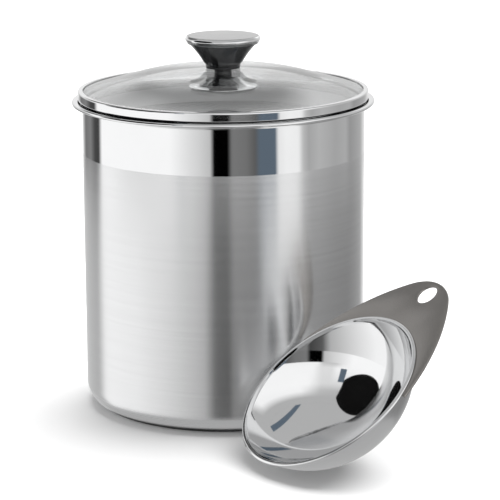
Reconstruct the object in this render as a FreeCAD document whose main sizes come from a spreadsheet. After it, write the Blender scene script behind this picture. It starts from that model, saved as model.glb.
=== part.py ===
"""A lidded steel canister: a drawn shell with a flared mouth, a glass lid with a steel
band and a bolted knob, and a loose round scoop that leans on the shell.

Millimetres, +Z up, origin at the middle of the shell's base.  The driving sizes are in the
spreadsheet, and every text such as "body_radius - wall" is a sum of its cells.
"""
import FreeCAD, Part
import math
import os
import re

import Sketcher
from FreeCAD import Placement, Rotation, Vector

SIZES = {
    # shell
    "body_radius": (80.0, "outside radius of the shell"),
    "body_height": (176.0, "base to the top of the lip"),
    "wall": (0.8, "sheet thickness of the shell"),
    "base_bend": (13.0, "outside bend between wall and base"),
    "cove_bend": (3.2, "outside bend where the wall flares into the lip"),
    "lip_reach": (2.5, "middle of the cove's bend out to the edge of the lip"),
    "bead_bend": (1.1, "radius of the bead rolled at the lip's edge"),
    # lid band
    "band_inset": (1.0, "middle of the cove's bend in to the edge of the band"),
    "band_sheet": (0.9, "sheet thickness of the lid band"),
    "band_cover": (2.8, "how far the band folds over the glass"),
    "skirt_depth": (5.4, "how far the skirt hangs below the band"),
    "skirt_gap": (0.8, "gap between skirt and shell"),
    "rest_gap": (0.3, "gap where the band seats in the flare"),
    # glass
    "glass_thickness": (3.7, "glass, top to underside"),
    "glass_fit": (0.05, "gap between glass and band"),
    "glass_rise": (12.7, "edge of the glass to the top of its dome"),
    "glass_land": (2.0, "flat edge of the glass that the band holds"),
    "crown_reach": (32.0, "radius where the crown meets the shoulder"),
    "crown_bend": (450.0, "radius of the dome's crown"),
    "shoulder_bend": (100.0, "radius of the dome's shoulder"),
    "glass_hole": (5.0, "radius of the hole for the knob screw"),
    # knob
    "washer_thickness": (1.0, "each soft washer"),
    "washer_radius": (9.6, "outside radius of each soft washer"),
    "washer_fit": (0.1, "gap between the lower washer and the glass"),
    "neck_radius": (9.9, "narrow foot of the grip"),
    "neck_height": (1.2, "straight part of the grip's foot"),
    "collar_step": (1.3, "step from the foot to the flare"),
    "flare_bend": (44.0, "hollow curve of the grip"),
    "grip_height": (13.1, "foot of the grip to the cap"),
    "cap_radius": (21.3, "outside radius of the cap"),
    "cap_side": (2.3, "edge of the cap up to its widest point"),
    "cap_round": (2.0, "rounding at the cap's rim"),
    "cap_crown": (1.0, "dome of the cap"),
    "cap_tuck": (0.9, "how far the cap's edge is rolled in"),
    "cap_sheet": (0.8, "sheet thickness of the cap"),
    "head_fit": (0.1, "gap between grip and cap"),
    "insert_radius": (4.2, "threaded insert"),
    "insert_length": (9.0, "threaded insert"),
    "screw_radius": (2.45, "knob screw"),
    "screw_fit": (0.05, "gap between screw and insert"),
    "screw_reach": (7.6, "screw thread inside the insert"),
    "screw_clear": (0.3, "gap where the screw passes through"),
    "head_radius": (4.7, "screw head"),
    "head_height": (2.6, "screw head"),
    "recess_length": (5.4, "cross recess in the screw head"),
    "recess_width": (1.1, "cross recess in the screw head"),
    "recess_depth": (1.5, "cross recess in the screw head"),
    "spring_thickness": (1.0, "spring washer"),
    "cup_top": (9.7, "radius at the top of the clamp cup"),
    "cup_foot": (19.4, "radius at the mouth of the clamp cup"),
    "cup_height": (6.2, "clamp cup"),
    "cup_sheet": (0.8, "sheet thickness of the clamp cup"),
    "cup_bend": (14.0, "flare of the clamp cup"),
    "pole_flat": (1.0, "radius of the small flat at the pole of the cap and the bowl"),
    # scoop
    "bowl_rim": (52.0, "radius of the bowl at its rim"),
    "bowl_spread": (4.0, "radius of the sphere that the bowl is cut from, beyond the rim's"),
    "bowl_sheet": (1.0, "sheet thickness of the bowl"),
    "rim_bead": (1.1, "bead round the bowl's rim"),
    "handle_length": (32.0, "bowl's rim to the tip of the handle"),
    "handle_tip": (27.0, "rounding of the handle's tip"),
    "handle_flank": (110.0, "long curve of the handle's sides"),
    "handle_sheet": (1.2, "thickness of the handle"),
    "horn_width": (1.2, "handle where its sides turn in to the bowl"),
    "horn_start": (18.0, "bowl's axis to the blunt ends of the handle's horns"),
    "weld_gap": (0.05, "weld gap between handle and bowl"),
    "hang_hole": (6.0, "radius of the hole to hang the scoop by"),
    "hole_inset": (9.0, "tip of the handle to the middle of the hanging hole"),
    # how the scoop leans on the shell, in degrees
    "lean_gap": (0.5, "gap between the scoop's rim and the shell"),
    "lean_bearing": (-67.2, "where on the shell the rim leans"),
    "face_bearing": (-148.5, "the way that the bowl's mouth faces"),
    "face_tilt": (37.3, "tilt of the bowl's mouth from level"),
    "handle_turn": (175.2, "the handle, turned from the mouth's low side"),
}

# levels and radii that several pieces share
COVE_LEVEL = "(body_height - wall - cove_bend)"
COVE_CENTRE = "(body_radius + cove_bend)"
LIP_EDGE = f"({COVE_CENTRE} + lip_reach)"
BAND_EDGE = f"({COVE_CENTRE} - band_inset)"
MOUTH = "(body_radius - wall)"
BAND_FOOT = f"({COVE_LEVEL} + sqrt((cove_bend + wall + rest_gap) ^ 2 - band_inset ^ 2))"
GLASS_SEAT = f"({BAND_FOOT} + band_sheet + glass_fit)"
GLASS_EDGE = f"({BAND_EDGE} - band_sheet - glass_fit)"
LAND_TOP = f"({GLASS_SEAT} + glass_thickness)"
BAND_TOP = f"({LAND_TOP} + glass_fit + band_sheet)"
CROWN = f"({LAND_TOP} + glass_rise)"
CROWN_UNDER = f"({CROWN} - glass_thickness)"
GRIP_FOOT = f"({CROWN} + washer_thickness)"
CAP_FOOT = f"({GRIP_FOOT} + grip_height)"
CAP_WIDE = f"({CAP_FOOT} + cap_side)"
CAP_SHOULDER = f"({CAP_WIDE} + cap_round)"
UNDER_WASHER = f"({CROWN_UNDER} - washer_radius ^ 2 / (2 * crown_bend) - washer_fit)"
CUP_CROWN = f"({UNDER_WASHER} - washer_thickness)"
SPRING_SEAT = f"({CUP_CROWN} - cup_sheet)"
HEAD_SEAT = f"({SPRING_SEAT} - spring_thickness)"
SCREW_HOLE = "(screw_radius + screw_clear)"
SPHERE = "(bowl_rim + bowl_spread)"
BOWL_DROP = f"sqrt({SPHERE} ^ 2 - bowl_rim ^ 2)"
WELD_RADIUS = "(bowl_rim + weld_gap)"
HANDLE_ROOT = "(bowl_rim + rim_bead + horn_width)"
HANDLE_END = "(bowl_rim + handle_length)"
TIP_MIDDLE = f"({HANDLE_END} - handle_tip)"
HOLE_MIDDLE = f"({HANDLE_END} - hole_inset)"

document = FreeCAD.newDocument("canister")
sheet = document.addObject("Spreadsheet::Sheet", "Sizes")
for row, (word, (number, note)) in enumerate(SIZES.items(), start=1):
    sheet.set(f"A{row}", word)
    sheet.set(f"B{row}", str(number))
    sheet.set(f"C{row}", note)
    sheet.setAlias(f"B{row}", word)
document.recompute()


def cells(text):
    """The sum as an expression: each word becomes a cell of the sheet."""
    return re.sub(r"\b(?!sqrt\b)[a-z_]+\b", lambda word: f"Sizes.{word.group()}", text)


def value(text):
    """The sum as a number."""
    return float(sheet.evalExpression(cells(text)))


def new_body(label):
    body = document.addObject("PartDesign::Body", label)
    body.Label = label
    return body


def origin_feature(body, role):
    return next(item for item in body.Origin.OriginFeatures if item.Role == role)


def new_sketch(body, name, role):
    sketch = body.newObject("Sketcher::SketchObject", name)
    sketch.AttachmentSupport = [(origin_feature(body, role), "")]
    sketch.MapMode = "FlatFace"
    return sketch


def bind(sketch, kind, *places, text):
    """Add a size to the sketch and tie it to the sheet."""
    index = sketch.addConstraint(Sketcher.Constraint(kind, *places, value(text)))
    sketch.setExpression(f"Constraints[{index}]", cells(text))


def hold(sketch, edge, end, axis, place):
    """Hold one end of an edge at its distance from the sketch's other axis."""
    if place == "0":
        line = -2 if axis == "DistanceX" else -1
        sketch.addConstraint(Sketcher.Constraint("PointOnObject", edge, end, line))
    elif isinstance(place, str):
        bind(sketch, axis, -1, 1, edge, end, text=place)


def arc_between(start, stop, radius, clockwise):
    """The shorter arc of that radius from start to stop."""
    if clockwise:
        start, stop = stop, start
    chord = stop - start
    height = math.sqrt(radius ** 2 - (chord.Length / 2) ** 2)
    left = Vector(-chord.y, chord.x, 0).normalize()
    centre = (start + stop) / 2 + left * height
    turn = [math.atan2(end.y - centre.y, end.x - centre.x) for end in (start, stop)]
    return Part.ArcOfCircle(Part.Circle(centre, Vector(0, 0, 1), radius), *turn)


def outline(sketch, corners, smooth=()):
    """Draw a closed outline through the corners.

    A corner is (across, up, bend): a place is a sum of cells, or a number where the smooth
    joints settle it.  The edge to the next corner is straight if bend is None, or else an
    arc of that radius, with a minus in front where it runs clockwise.  The edges that meet
    at the smooth corners are tangent.
    """
    guess = [
        Vector(*(value(place) if isinstance(place, str) else place for place in corner[:2]), 0)
        for corner in corners
    ]
    starts = []
    for index, corner in enumerate(corners):
        start = guess[index]
        stop = guess[(index + 1) % len(corners)]
        bend = corner[2]
        if bend is None:
            sketch.addGeometry(Part.LineSegment(start, stop))
            starts.append(1)
        else:
            clockwise = bend.startswith("-")
            radius = bend.lstrip("-")
            sketch.addGeometry(arc_between(start, stop, value(radius), clockwise))
            starts.append(2 if clockwise else 1)
            bind(sketch, "Radius", index, text=radius)
    for index, corner in enumerate(corners):
        before = index - 1 if index else len(corners) - 1
        kind = "Tangent" if index in smooth else "Coincident"
        join = Sketcher.Constraint(kind, before, 3 - starts[before], index, starts[index])
        sketch.addConstraint(join)
        hold(sketch, index, starts[index], "DistanceX", corner[0])
        hold(sketch, index, starts[index], "DistanceY", corner[1])


def turned(label, corners, **joints):
    """A body turned about Z from its half section."""
    body = new_body(label)
    sketch = new_sketch(body, f"{label}_section", "XZ_Plane")
    outline(sketch, corners, **joints)
    revolution = body.newObject("PartDesign::Revolution", f"{label}_turned")
    revolution.Profile = sketch
    revolution.ReferenceAxis = (sketch, ["V_Axis"])
    revolution.Angle = 360
    sketch.Visibility = False
    document.recompute()
    return body


def cut(body, sketch, length=None):
    """Pocket the sketch through the body, or to a depth upwards."""
    before = body.Shape.Volume
    pocket = body.newObject("PartDesign::Pocket", f"{sketch.Name}_cut")
    pocket.Profile = sketch
    if length:
        pocket.setExpression("Length", cells(length))
        pocket.Reversed = True
    else:
        pocket.Type = "ThroughAll"
        pocket.Midplane = True
    document.recompute()
    if not body.Shape.Volume < before:
        raise RuntimeError(f"{pocket.Name} cuts nothing")


def ring(label, inner, outer, foot, top):
    """A plain ring between two radii and two levels."""
    return turned(
        label,
        [(inner, foot, None), (outer, foot, None), (outer, top, None), (inner, top, None)],
    )


def make_shell():
    """One drawn sheet: base, bend, wall, cove and a lip with a rolled bead."""
    bead_centre = f"({LIP_EDGE} - bead_bend)"
    under_lip = "(body_height - wall)"
    bead_start = f"({bead_centre} - sqrt(bead_bend ^ 2 - (bead_bend - wall) ^ 2))"
    return turned(
        "canister_shell",
        [
            ("0", "0", None),
            ("body_radius - base_bend", "0", "base_bend"),
            ("body_radius", "base_bend", None),
            ("body_radius", COVE_LEVEL, "-cove_bend"),
            (COVE_CENTRE, under_lip, None),
            (bead_start, under_lip, "bead_bend"),
            (bead_centre, "body_height - 2 * bead_bend", "bead_bend"),
            (LIP_EDGE, "body_height - bead_bend", "bead_bend"),
            (bead_centre, "body_height", None),
            (COVE_CENTRE, "body_height", "cove_bend + wall"),
            (MOUTH, COVE_LEVEL, None),
            (MOUTH, "base_bend", "-(base_bend - wall)"),
            ("body_radius - base_bend", "wall", None),
            ("0", "wall", None),
        ],
    )


def make_band():
    """The steel strip folded round the glass, with the skirt that finds the mouth."""
    skirt = f"({MOUTH} - skirt_gap)"
    return turned(
        "lid_band",
        [
            (f"{skirt} - band_sheet", f"{BAND_FOOT} - skirt_depth", None),
            (skirt, f"{BAND_FOOT} - skirt_depth", None),
            (skirt, BAND_FOOT, None),
            (BAND_EDGE, BAND_FOOT, None),
            (BAND_EDGE, f"{BAND_TOP} - band_sheet", "band_sheet"),
            (f"{BAND_EDGE} - band_sheet", BAND_TOP, None),
            (f"{BAND_EDGE} - band_cover", BAND_TOP, None),
            (f"{BAND_EDGE} - band_cover", f"{BAND_TOP} - band_sheet", None),
            (f"{BAND_EDGE} - band_sheet", f"{BAND_TOP} - band_sheet", None),
            (f"{BAND_EDGE} - band_sheet", f"{BAND_FOOT} + band_sheet", None),
            (f"{skirt} - band_sheet", f"{BAND_FOOT} + band_sheet", None),
        ],
    )


def make_glass():
    """The domed glass: crown, shoulder and straight flank, alike above and below."""
    land = f"({GLASS_EDGE} - glass_land)"
    slope = 0.28
    flank_start = value("crown_reach + shoulder_bend * 0.2")
    flank_top = value(LAND_TOP) + slope * (value(land) - flank_start)
    flank_under = flank_top - value("glass_thickness")
    crown_drop = "(crown_bend - sqrt(crown_bend ^ 2 - crown_reach ^ 2))"
    hole_drop = "(crown_bend - sqrt(crown_bend ^ 2 - glass_hole ^ 2))"
    return turned(
        "lid_glass",
        [
            ("glass_hole", f"{CROWN} - {hole_drop}", "-crown_bend"),
            ("crown_reach", f"{CROWN} - {crown_drop}", "-shoulder_bend"),
            (flank_start, flank_top, None),
            (land, LAND_TOP, None),
            (GLASS_EDGE, LAND_TOP, None),
            (GLASS_EDGE, GLASS_SEAT, None),
            (land, GLASS_SEAT, None),
            (flank_start, flank_under, "shoulder_bend"),
            ("crown_reach", f"{CROWN_UNDER} - {crown_drop}", "crown_bend"),
            ("glass_hole", f"{CROWN_UNDER} - {hole_drop}", None),
        ],
        smooth=(2, 7),
    )


def make_grip():
    """The black grip: a narrow foot that flares to a head inside the cap."""
    mouth = "(cap_radius - cap_tuck - cap_sheet - head_fit)"
    widest = "(cap_radius - cap_sheet - head_fit)"
    head_top = f"({CAP_SHOULDER} - cap_sheet - head_fit)"
    flare_start = f"({GRIP_FOOT} + neck_height + collar_step)"
    return turned(
        "knob_grip",
        [
            ("insert_radius", GRIP_FOOT, None),
            ("neck_radius", GRIP_FOOT, None),
            ("neck_radius", f"{GRIP_FOOT} + neck_height", None),
            ("neck_radius + collar_step", flare_start, "-flare_bend"),
            (mouth, CAP_FOOT, None),
            (widest, CAP_WIDE, None),
            (widest, f"{CAP_WIDE} + head_fit", None),
            ("cap_radius - cap_round", head_top, None),
            ("0", head_top, None),
            ("0", f"{GRIP_FOOT} + insert_length", None),
            ("insert_radius", f"{GRIP_FOOT} + insert_length", None),
        ],
    )


def make_cap():
    """The polished cap, pressed from sheet and rolled in over the grip's head."""
    top = f"({CAP_SHOULDER} + cap_crown)"
    flat = "(cap_radius - cap_round)"
    dome = f"(({flat} - pole_flat) ^ 2 / (2 * cap_crown) + cap_crown / 2)"
    return turned(
        "knob_cap",
        [
            ("cap_radius - cap_tuck - cap_sheet", CAP_FOOT, None),
            ("cap_radius - cap_tuck", CAP_FOOT, None),
            ("cap_radius", CAP_WIDE, "cap_round"),
            (flat, CAP_SHOULDER, dome),
            ("pole_flat", top, None),
            ("0", top, None),
            ("0", f"{top} - cap_sheet", None),
            ("pole_flat", f"{top} - cap_sheet", f"-{dome}"),
            (flat, f"{CAP_SHOULDER} - cap_sheet", "-(cap_round - cap_sheet)"),
            ("cap_radius - cap_sheet", CAP_WIDE, None),
        ],
    )


def make_lower_washer():
    """The soft washer under the glass, with a collar that lines its hole."""
    return turned(
        "lower_seal_washer",
        [
            (SCREW_HOLE, CUP_CROWN, None),
            ("washer_radius", CUP_CROWN, None),
            ("washer_radius", UNDER_WASHER, None),
            ("glass_hole - washer_fit", UNDER_WASHER, None),
            ("glass_hole - washer_fit", f"{CROWN} - washer_fit", None),
            (SCREW_HOLE, f"{CROWN} - washer_fit", None),
        ],
    )


def make_cup():
    """The polished cup that clamps the glass from below."""
    mouth = f"({CUP_CROWN} - cup_height)"
    return turned(
        "clamp_cup",
        [
            (SCREW_HOLE, f"{CUP_CROWN} - cup_sheet", None),
            ("cup_top - cup_sheet", f"{CUP_CROWN} - cup_sheet", "cup_bend"),
            ("cup_foot", mouth, None),
            ("cup_foot", f"{mouth} + cup_sheet", "-cup_bend"),
            ("cup_top", CUP_CROWN, None),
            (SCREW_HOLE, CUP_CROWN, None),
        ],
    )


def make_screw():
    """The screw that pulls knob and cup together, with a cross recess in its head."""
    head_foot = f"({HEAD_SEAT} - head_height)"
    body = turned(
        "knob_screw",
        [
            ("0", head_foot, None),
            ("head_radius - head_height / 2", head_foot, "head_height / 2"),
            ("head_radius", f"{head_foot} + head_height / 2", None),
            ("head_radius", HEAD_SEAT, None),
            ("screw_radius", HEAD_SEAT, None),
            ("screw_radius", f"{GRIP_FOOT} + screw_reach", None),
            ("0", f"{GRIP_FOOT} + screw_reach", None),
        ],
    )
    for name, across, along in (
        ("recess_x", "recess_length", "recess_width"),
        ("recess_y", "recess_width", "recess_length"),
    ):
        recess = new_sketch(body, name, "XY_Plane")
        recess.setExpression("AttachmentOffset.Base.z", cells(head_foot))
        outline(
            recess,
            [
                (f"-{across} / 2", f"-{along} / 2", None),
                (f"{across} / 2", f"-{along} / 2", None),
                (f"{across} / 2", f"{along} / 2", None),
                (f"-{across} / 2", f"{along} / 2", None),
            ],
        )
        cut(body, recess, length="recess_depth")
    return body


def lean():
    """Where the scoop stands: its bowl on the table and its rim against the shell."""
    upright = Vector(0, 0, 1)
    out = Rotation(upright, value("lean_bearing")) * Vector(1, 0, 0)
    facing = Rotation(upright, value("face_bearing")) * Vector(1, 0, 0)
    tilt = math.radians(value("face_tilt"))
    normal = facing * math.sin(tilt) + upright * math.cos(tilt)
    towards = (-out) - normal * (-out).dot(normal)
    towards.normalize()
    reach = value("bowl_rim + rim_bead")
    centre = out * value("body_radius + lean_gap") - towards * reach
    centre.z = value(SPHERE) - value(BOWL_DROP) * normal.z
    low_side = facing - normal * facing.dot(normal)
    low_side.normalize()
    across = normal.cross(low_side)
    level = Rotation(low_side, across, normal, "ZXY")
    turn = Rotation(upright, value("handle_turn"))
    return Placement(centre, level * turn)


def make_bowl(place):
    """The scoop's bowl: a shallow part of a sphere with a bead round its rim."""
    inner = f"({SPHERE} - bowl_sheet)"
    inner_rim = f"sqrt({inner} ^ 2 - ({BOWL_DROP}) ^ 2)"
    pole = f"({BOWL_DROP} - sqrt({SPHERE} ^ 2 - pole_flat ^ 2))"
    inner_pole = f"({BOWL_DROP} - sqrt({inner} ^ 2 - pole_flat ^ 2))"
    body = turned(
        "scoop_bowl",
        [
            ("0", pole, None),
            ("pole_flat", pole, SPHERE),
            ("bowl_rim", "0", None),
            ("bowl_rim + rim_bead", "0", "rim_bead"),
            ("bowl_rim", "rim_bead", None),
            (inner_rim, "rim_bead", None),
            (inner_rim, "0", f"-{inner}"),
            ("pole_flat", inner_pole, None),
            ("0", inner_pole, None),
        ],
    )
    body.Placement = place
    return body


def make_handle(place):
    """The flat handle, a teardrop of tangent arcs welded round the back of the bowl."""
    body = new_body("scoop_handle")
    plate = new_sketch(body, "handle_plate", "XY_Plane")
    plate.setExpression("AttachmentOffset.Base.z", cells("-weld_gap - handle_sheet"))
    tip_centre = value(TIP_MIDDLE)
    root = value(HANDLE_ROOT)
    tip, flank = value("handle_tip"), value("handle_flank")
    to_root, to_tip = flank - root, flank - tip
    flank_x = (to_root ** 2 - to_tip ** 2 + tip_centre ** 2) / (2 * tip_centre)
    flank_y = math.sqrt(to_root ** 2 - flank_x ** 2)
    horn = Vector(-flank_x, flank_y, 0) * (root / to_root)
    toe = Vector(tip_centre, 0, 0) + Vector(tip_centre - flank_x, flank_y, 0) * (tip / to_tip)
    corners = [
        (horn.x, -horn.y, "handle_flank"),
        (toe.x, -toe.y, "handle_tip"),
        (toe.x, toe.y, "handle_flank"),
        (horn.x, horn.y, HANDLE_ROOT),
    ]
    outline(plate, corners, smooth=(0, 1, 2, 3))
    for edge in (1, 3):
        plate.addConstraint(Sketcher.Constraint("PointOnObject", edge, 3, -1))
    plate.addConstraint(Sketcher.Constraint("PointOnObject", 3, 3, -2))
    bind(plate, "DistanceX", -1, 1, 1, 3, text=TIP_MIDDLE)
    pad = body.newObject("PartDesign::Pad", "handle_pad")
    pad.Profile = plate
    pad.setExpression("Length", cells("handle_sheet"))
    document.recompute()
    seat = new_sketch(body, "bowl_seat", "XY_Plane")
    seat.addGeometry(Part.Circle(Vector(0, 0, 0), Vector(0, 0, 1), value(WELD_RADIUS)))
    seat.addConstraint(Sketcher.Constraint("Coincident", 0, 3, -1, 1))
    bind(seat, "Radius", 0, text=WELD_RADIUS)
    cut(body, seat)
    front = new_sketch(body, "open_front", "XY_Plane")
    outline(
        front,
        [
            ("-2 * bowl_rim", "-2 * bowl_rim", None),
            ("horn_start", "-2 * bowl_rim", None),
            ("horn_start", "2 * bowl_rim", None),
            ("-2 * bowl_rim", "2 * bowl_rim", None),
        ],
    )
    cut(body, front)
    hole = new_sketch(body, "hanging_hole", "XY_Plane")
    middle = Vector(value(HOLE_MIDDLE), 0, 0)
    hole.addGeometry(Part.Circle(middle, Vector(0, 0, 1), value("hang_hole")))
    hole.addConstraint(Sketcher.Constraint("PointOnObject", 0, 3, -1))
    bind(hole, "DistanceX", -1, 1, 0, 3, text=HOLE_MIDDLE)
    bind(hole, "Radius", 0, text="hang_hole")
    cut(body, hole)
    body.Placement = place
    return body


scoop_place = lean()
pieces = [
    make_shell(),
    make_band(),
    make_glass(),
    ring("upper_seal_washer", SCREW_HOLE, "washer_radius", CROWN, GRIP_FOOT),
    make_lower_washer(),
    make_grip(),
    make_cap(),
    ring(
        "knob_insert",
        "screw_radius + screw_fit",
        "insert_radius",
        GRIP_FOOT,
        f"{GRIP_FOOT} + insert_length",
    ),
    make_cup(),
    ring("spring_washer", SCREW_HOLE, "head_radius - screw_clear", HEAD_SEAT, SPRING_SEAT),
    make_screw(),
    make_bowl(scoop_place),
    make_handle(scoop_place),
]
document.recompute()
for item in document.Objects:
    if "Invalid" in item.State or "Error" in item.State:
        raise RuntimeError(f"{item.Name} failed: {item.State}")
os.makedirs("parts", exist_ok=True)
for piece in pieces:
    if piece.Shape.isNull() or not piece.Shape.isValid() or not piece.Shape.Solids:
        raise RuntimeError(f"{piece.Label} has no sound solid")
    piece.Shape.exportStep(f"parts/{piece.Label}.step")
    box = piece.Shape.BoundBox
    print(
        f"{piece.Label:18s} {piece.Shape.Volume:10.1f} mm3"
        f"  x {box.XMin:7.1f} {box.XMax:7.1f}  y {box.YMin:7.1f} {box.YMax:7.1f}"
        f"  z {box.ZMin:7.1f} {box.ZMax:7.1f}"
    )
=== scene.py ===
"""Looks for the lidded steel canister and its loose scoop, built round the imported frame.

Metres, Z up, in the frame of the CAD model.  Round pieces are half sections spun about
their axis; the finishes are brushed and polished steel, clear glass and black phenolic.
"""
import math

import bmesh
import bpy
from bpy.props import FloatProperty, FloatVectorProperty, PointerProperty
from mathutils import Euler, Matrix, Vector


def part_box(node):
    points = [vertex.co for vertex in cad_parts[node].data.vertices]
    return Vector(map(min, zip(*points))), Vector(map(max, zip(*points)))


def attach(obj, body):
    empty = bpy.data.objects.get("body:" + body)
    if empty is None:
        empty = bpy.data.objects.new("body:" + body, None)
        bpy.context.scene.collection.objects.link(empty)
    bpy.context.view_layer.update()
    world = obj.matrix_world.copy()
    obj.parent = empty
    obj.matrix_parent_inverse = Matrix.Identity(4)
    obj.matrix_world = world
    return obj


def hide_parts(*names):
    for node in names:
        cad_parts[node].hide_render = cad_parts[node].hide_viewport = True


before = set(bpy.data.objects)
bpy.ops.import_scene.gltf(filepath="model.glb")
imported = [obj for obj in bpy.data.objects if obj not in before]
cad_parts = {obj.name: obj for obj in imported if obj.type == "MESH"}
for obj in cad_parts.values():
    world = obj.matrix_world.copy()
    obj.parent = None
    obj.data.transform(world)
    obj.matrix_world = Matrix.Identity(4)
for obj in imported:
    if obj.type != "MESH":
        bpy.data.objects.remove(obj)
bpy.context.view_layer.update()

bl_info = {
    "name": "Lidded canister",
    "version": (1, 0, 0),
    "blender": (4, 5, 0),
    "location": "3D View > Sidebar > Canister",
    "description": "Builds the visible pieces of a steel canister with a glass lid and a scoop",
    "category": "Add Mesh",
}

SHELL_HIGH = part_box("canister_shell")[1]
BAND_LOW, BAND_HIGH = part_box("lid_band")
GLASS_LOW, GLASS_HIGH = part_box("lid_glass")
UPPER_LOW, UPPER_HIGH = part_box("upper_seal_washer")
LOWER_LOW, LOWER_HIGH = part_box("lower_seal_washer")
GRIP_LOW, GRIP_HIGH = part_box("knob_grip")
CAP_LOW, CAP_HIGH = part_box("knob_cap")
CUP_LOW, CUP_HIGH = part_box("clamp_cup")

ROUND_STEPS = 192
UP = Vector((0, 0, 1))
# points closer than this are one point
MERGE = 1e-6
# faces that meet at more than this are shaded with an edge between them
CREASE = math.radians(35)
# a narrow strip beside a rounding keeps the flat next to it mirror flat
FLAT_EDGE = 0.00008
# how far the sharp edges are taken off
BAND_BEVEL = 0.00022
WASHER_BEVEL = 0.00025
GRIP_BEVEL = 0.0003
SHEET_BEVEL = 0.0002
SCOOP_BEVEL = 0.0003
# the grain of the metals, as how often it changes in a metre across, along and up
FINE_LINES = (14, 14, 3200)
BROAD_LINES = (5, 5, 520)
HAIRLINES = (60, 60, 1500)
TOOL_RINGS = (40, 40, 5000)


def length(name, description, default):
    return FloatProperty(name=name, description=description, default=default, unit="LENGTH")


def angle(name, description, degrees):
    return FloatProperty(
        name=name, description=description, default=math.radians(degrees), unit="ROTATION"
    )


def share(name, description, default):
    return FloatProperty(
        name=name, description=description, default=default, min=0, max=1, subtype="FACTOR"
    )


def tint(name, description, default):
    return FloatVectorProperty(
        name=name, description=description, default=default, size=3, min=0, max=1, subtype="COLOR"
    )


class ShellSizes(bpy.types.PropertyGroup):
    body_radius: length("Body radius", "Outside radius of the straight wall", 0.080)
    wall: length("Wall", "Sheet thickness", 0.0008)
    base_bend: length("Base bend", "Outside bend between wall and base", 0.013)
    cove_bend: length("Cove bend", "Outside bend where the wall flares out", 0.0032)
    lip_bead: length("Lip bead", "Radius of the bead at the lip's edge", 0.0011)
    satin_top: length("Satin top", "Level where the satin wall turns to polished", 0.1468)
    # above this level the inside under the lip is rougher, and its colour is painted lighter as
    # the light from above falling through the glass
    matt_light_foot: length("Matt foot", "Level inside where the matt zone under the lip ends", 0.1610)


class LidSizes(bpy.types.PropertyGroup):
    band_sheet: length("Band sheet", "Sheet thickness of the lid band", 0.0009)
    band_cover: length("Band cover", "How far the band folds over the glass", 0.0028)
    band_roll: length("Band roll", "Rounding where the band folds over", 0.0009)
    foot_roll: length("Foot roll", "Rounding of the band's foot over the lip", 0.0009)
    skirt_gap: length("Skirt gap", "Gap between the skirt and the shell", 0.0008)
    skirt_depth: length("Skirt depth", "How far the skirt hangs below the band", 0.0054)
    glass_thickness: length("Glass thickness", "Top to underside", 0.0037)
    glass_land: length("Glass land", "Flat edge that the band holds", 0.0020)
    crown_reach: length("Crown reach", "Radius where crown and shoulder meet", 0.032)
    crown_bend: length("Crown bend", "Radius of the dome's crown", 0.450)
    shoulder_bend: length("Shoulder bend", "Radius of the dome's shoulder", 0.100)
    flank_reach: length("Flank reach", "Radius where shoulder and flank meet", 0.052)
    flank_slope: angle("Flank slope", "Fall of the straight flank", 16.186)
    glass_hole: length("Glass hole", "Radius of the hole for the screw", 0.005)


class KnobSizes(bpy.types.PropertyGroup):
    neck_radius: length("Neck radius", "Narrow foot of the grip", 0.0099)
    neck_height: length("Neck height", "Straight part of the foot", 0.0012)
    collar_step: length("Collar step", "Step from the foot to the flare", 0.0013)
    flare_bend: length("Flare bend", "Hollow curve of the grip", 0.044)
    insert_radius: length("Insert radius", "Threaded insert", 0.0042)
    insert_length: length("Insert length", "Threaded insert", 0.009)
    cap_side: length("Cap side", "Edge of the cap up to its widest point", 0.0023)
    cap_round: length("Cap round", "Rounding at the cap's rim", 0.0020)
    cap_crown: length("Cap crown", "Rise of the cap's dome", 0.0010)
    cap_tuck: length("Cap tuck", "How far the cap's edge rolls in", 0.0009)
    cap_sheet: length("Cap sheet", "Sheet thickness of the cap", 0.0008)
    head_fit: length("Head fit", "Gap between the grip's head and the cap", 0.0001)
    screw_hole: length("Screw hole", "Radius of the hole through washers and cup", 0.00275)
    collar_radius: length("Collar radius", "Soft collar in the glass's hole", 0.0049)
    cup_top: length("Cup top", "Radius at the top of the clamp cup", 0.0097)
    cup_bend: length("Cup bend", "Flare of the clamp cup", 0.014)
    cup_sheet: length("Cup sheet", "Sheet thickness of the clamp cup", 0.0008)


class ScoopSizes(bpy.types.PropertyGroup):
    rim: length("Rim", "Radius of the bowl at its rim", 0.052)
    spread: length("Spread", "Radius of the bowl's sphere beyond the rim's", 0.004)
    sheet: length("Sheet", "Sheet thickness of the bowl", 0.001)
    bead: length("Bead", "Bead round the rim", 0.0011)
    handle_length: length("Handle length", "Rim to the tip of the handle", 0.032)
    handle_tip: length("Handle tip", "Rounding of the tip", 0.027)
    handle_flank: length("Handle flank", "Long curve of the sides", 0.110)
    handle_sheet: length("Handle sheet", "Thickness of the handle", 0.0012)
    horn_width: length("Horn width", "Handle where its sides turn in to the bowl", 0.0012)
    horn_start: length("Horn start", "Bowl's axis to the ends of the horns", 0.018)
    weld_gap: length("Weld gap", "Gap between handle and bowl", 0.00005)
    hole_radius: length("Hole radius", "Hanging hole", 0.006)
    hole_inset: length("Hole inset", "Tip of the handle to the hole's middle", 0.009)
    lean_gap: length("Lean gap", "Gap between the rim and the shell", 0.0005)
    lean_bearing: angle("Lean bearing", "Where on the shell the rim leans", -67.2)
    face_bearing: angle("Face bearing", "The way that the mouth faces", -148.5)
    face_tilt: angle("Face tilt", "Tilt of the mouth from level", 37.3)
    handle_turn: angle("Handle turn", "The handle, turned from the mouth's low side", 175.2)


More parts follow.
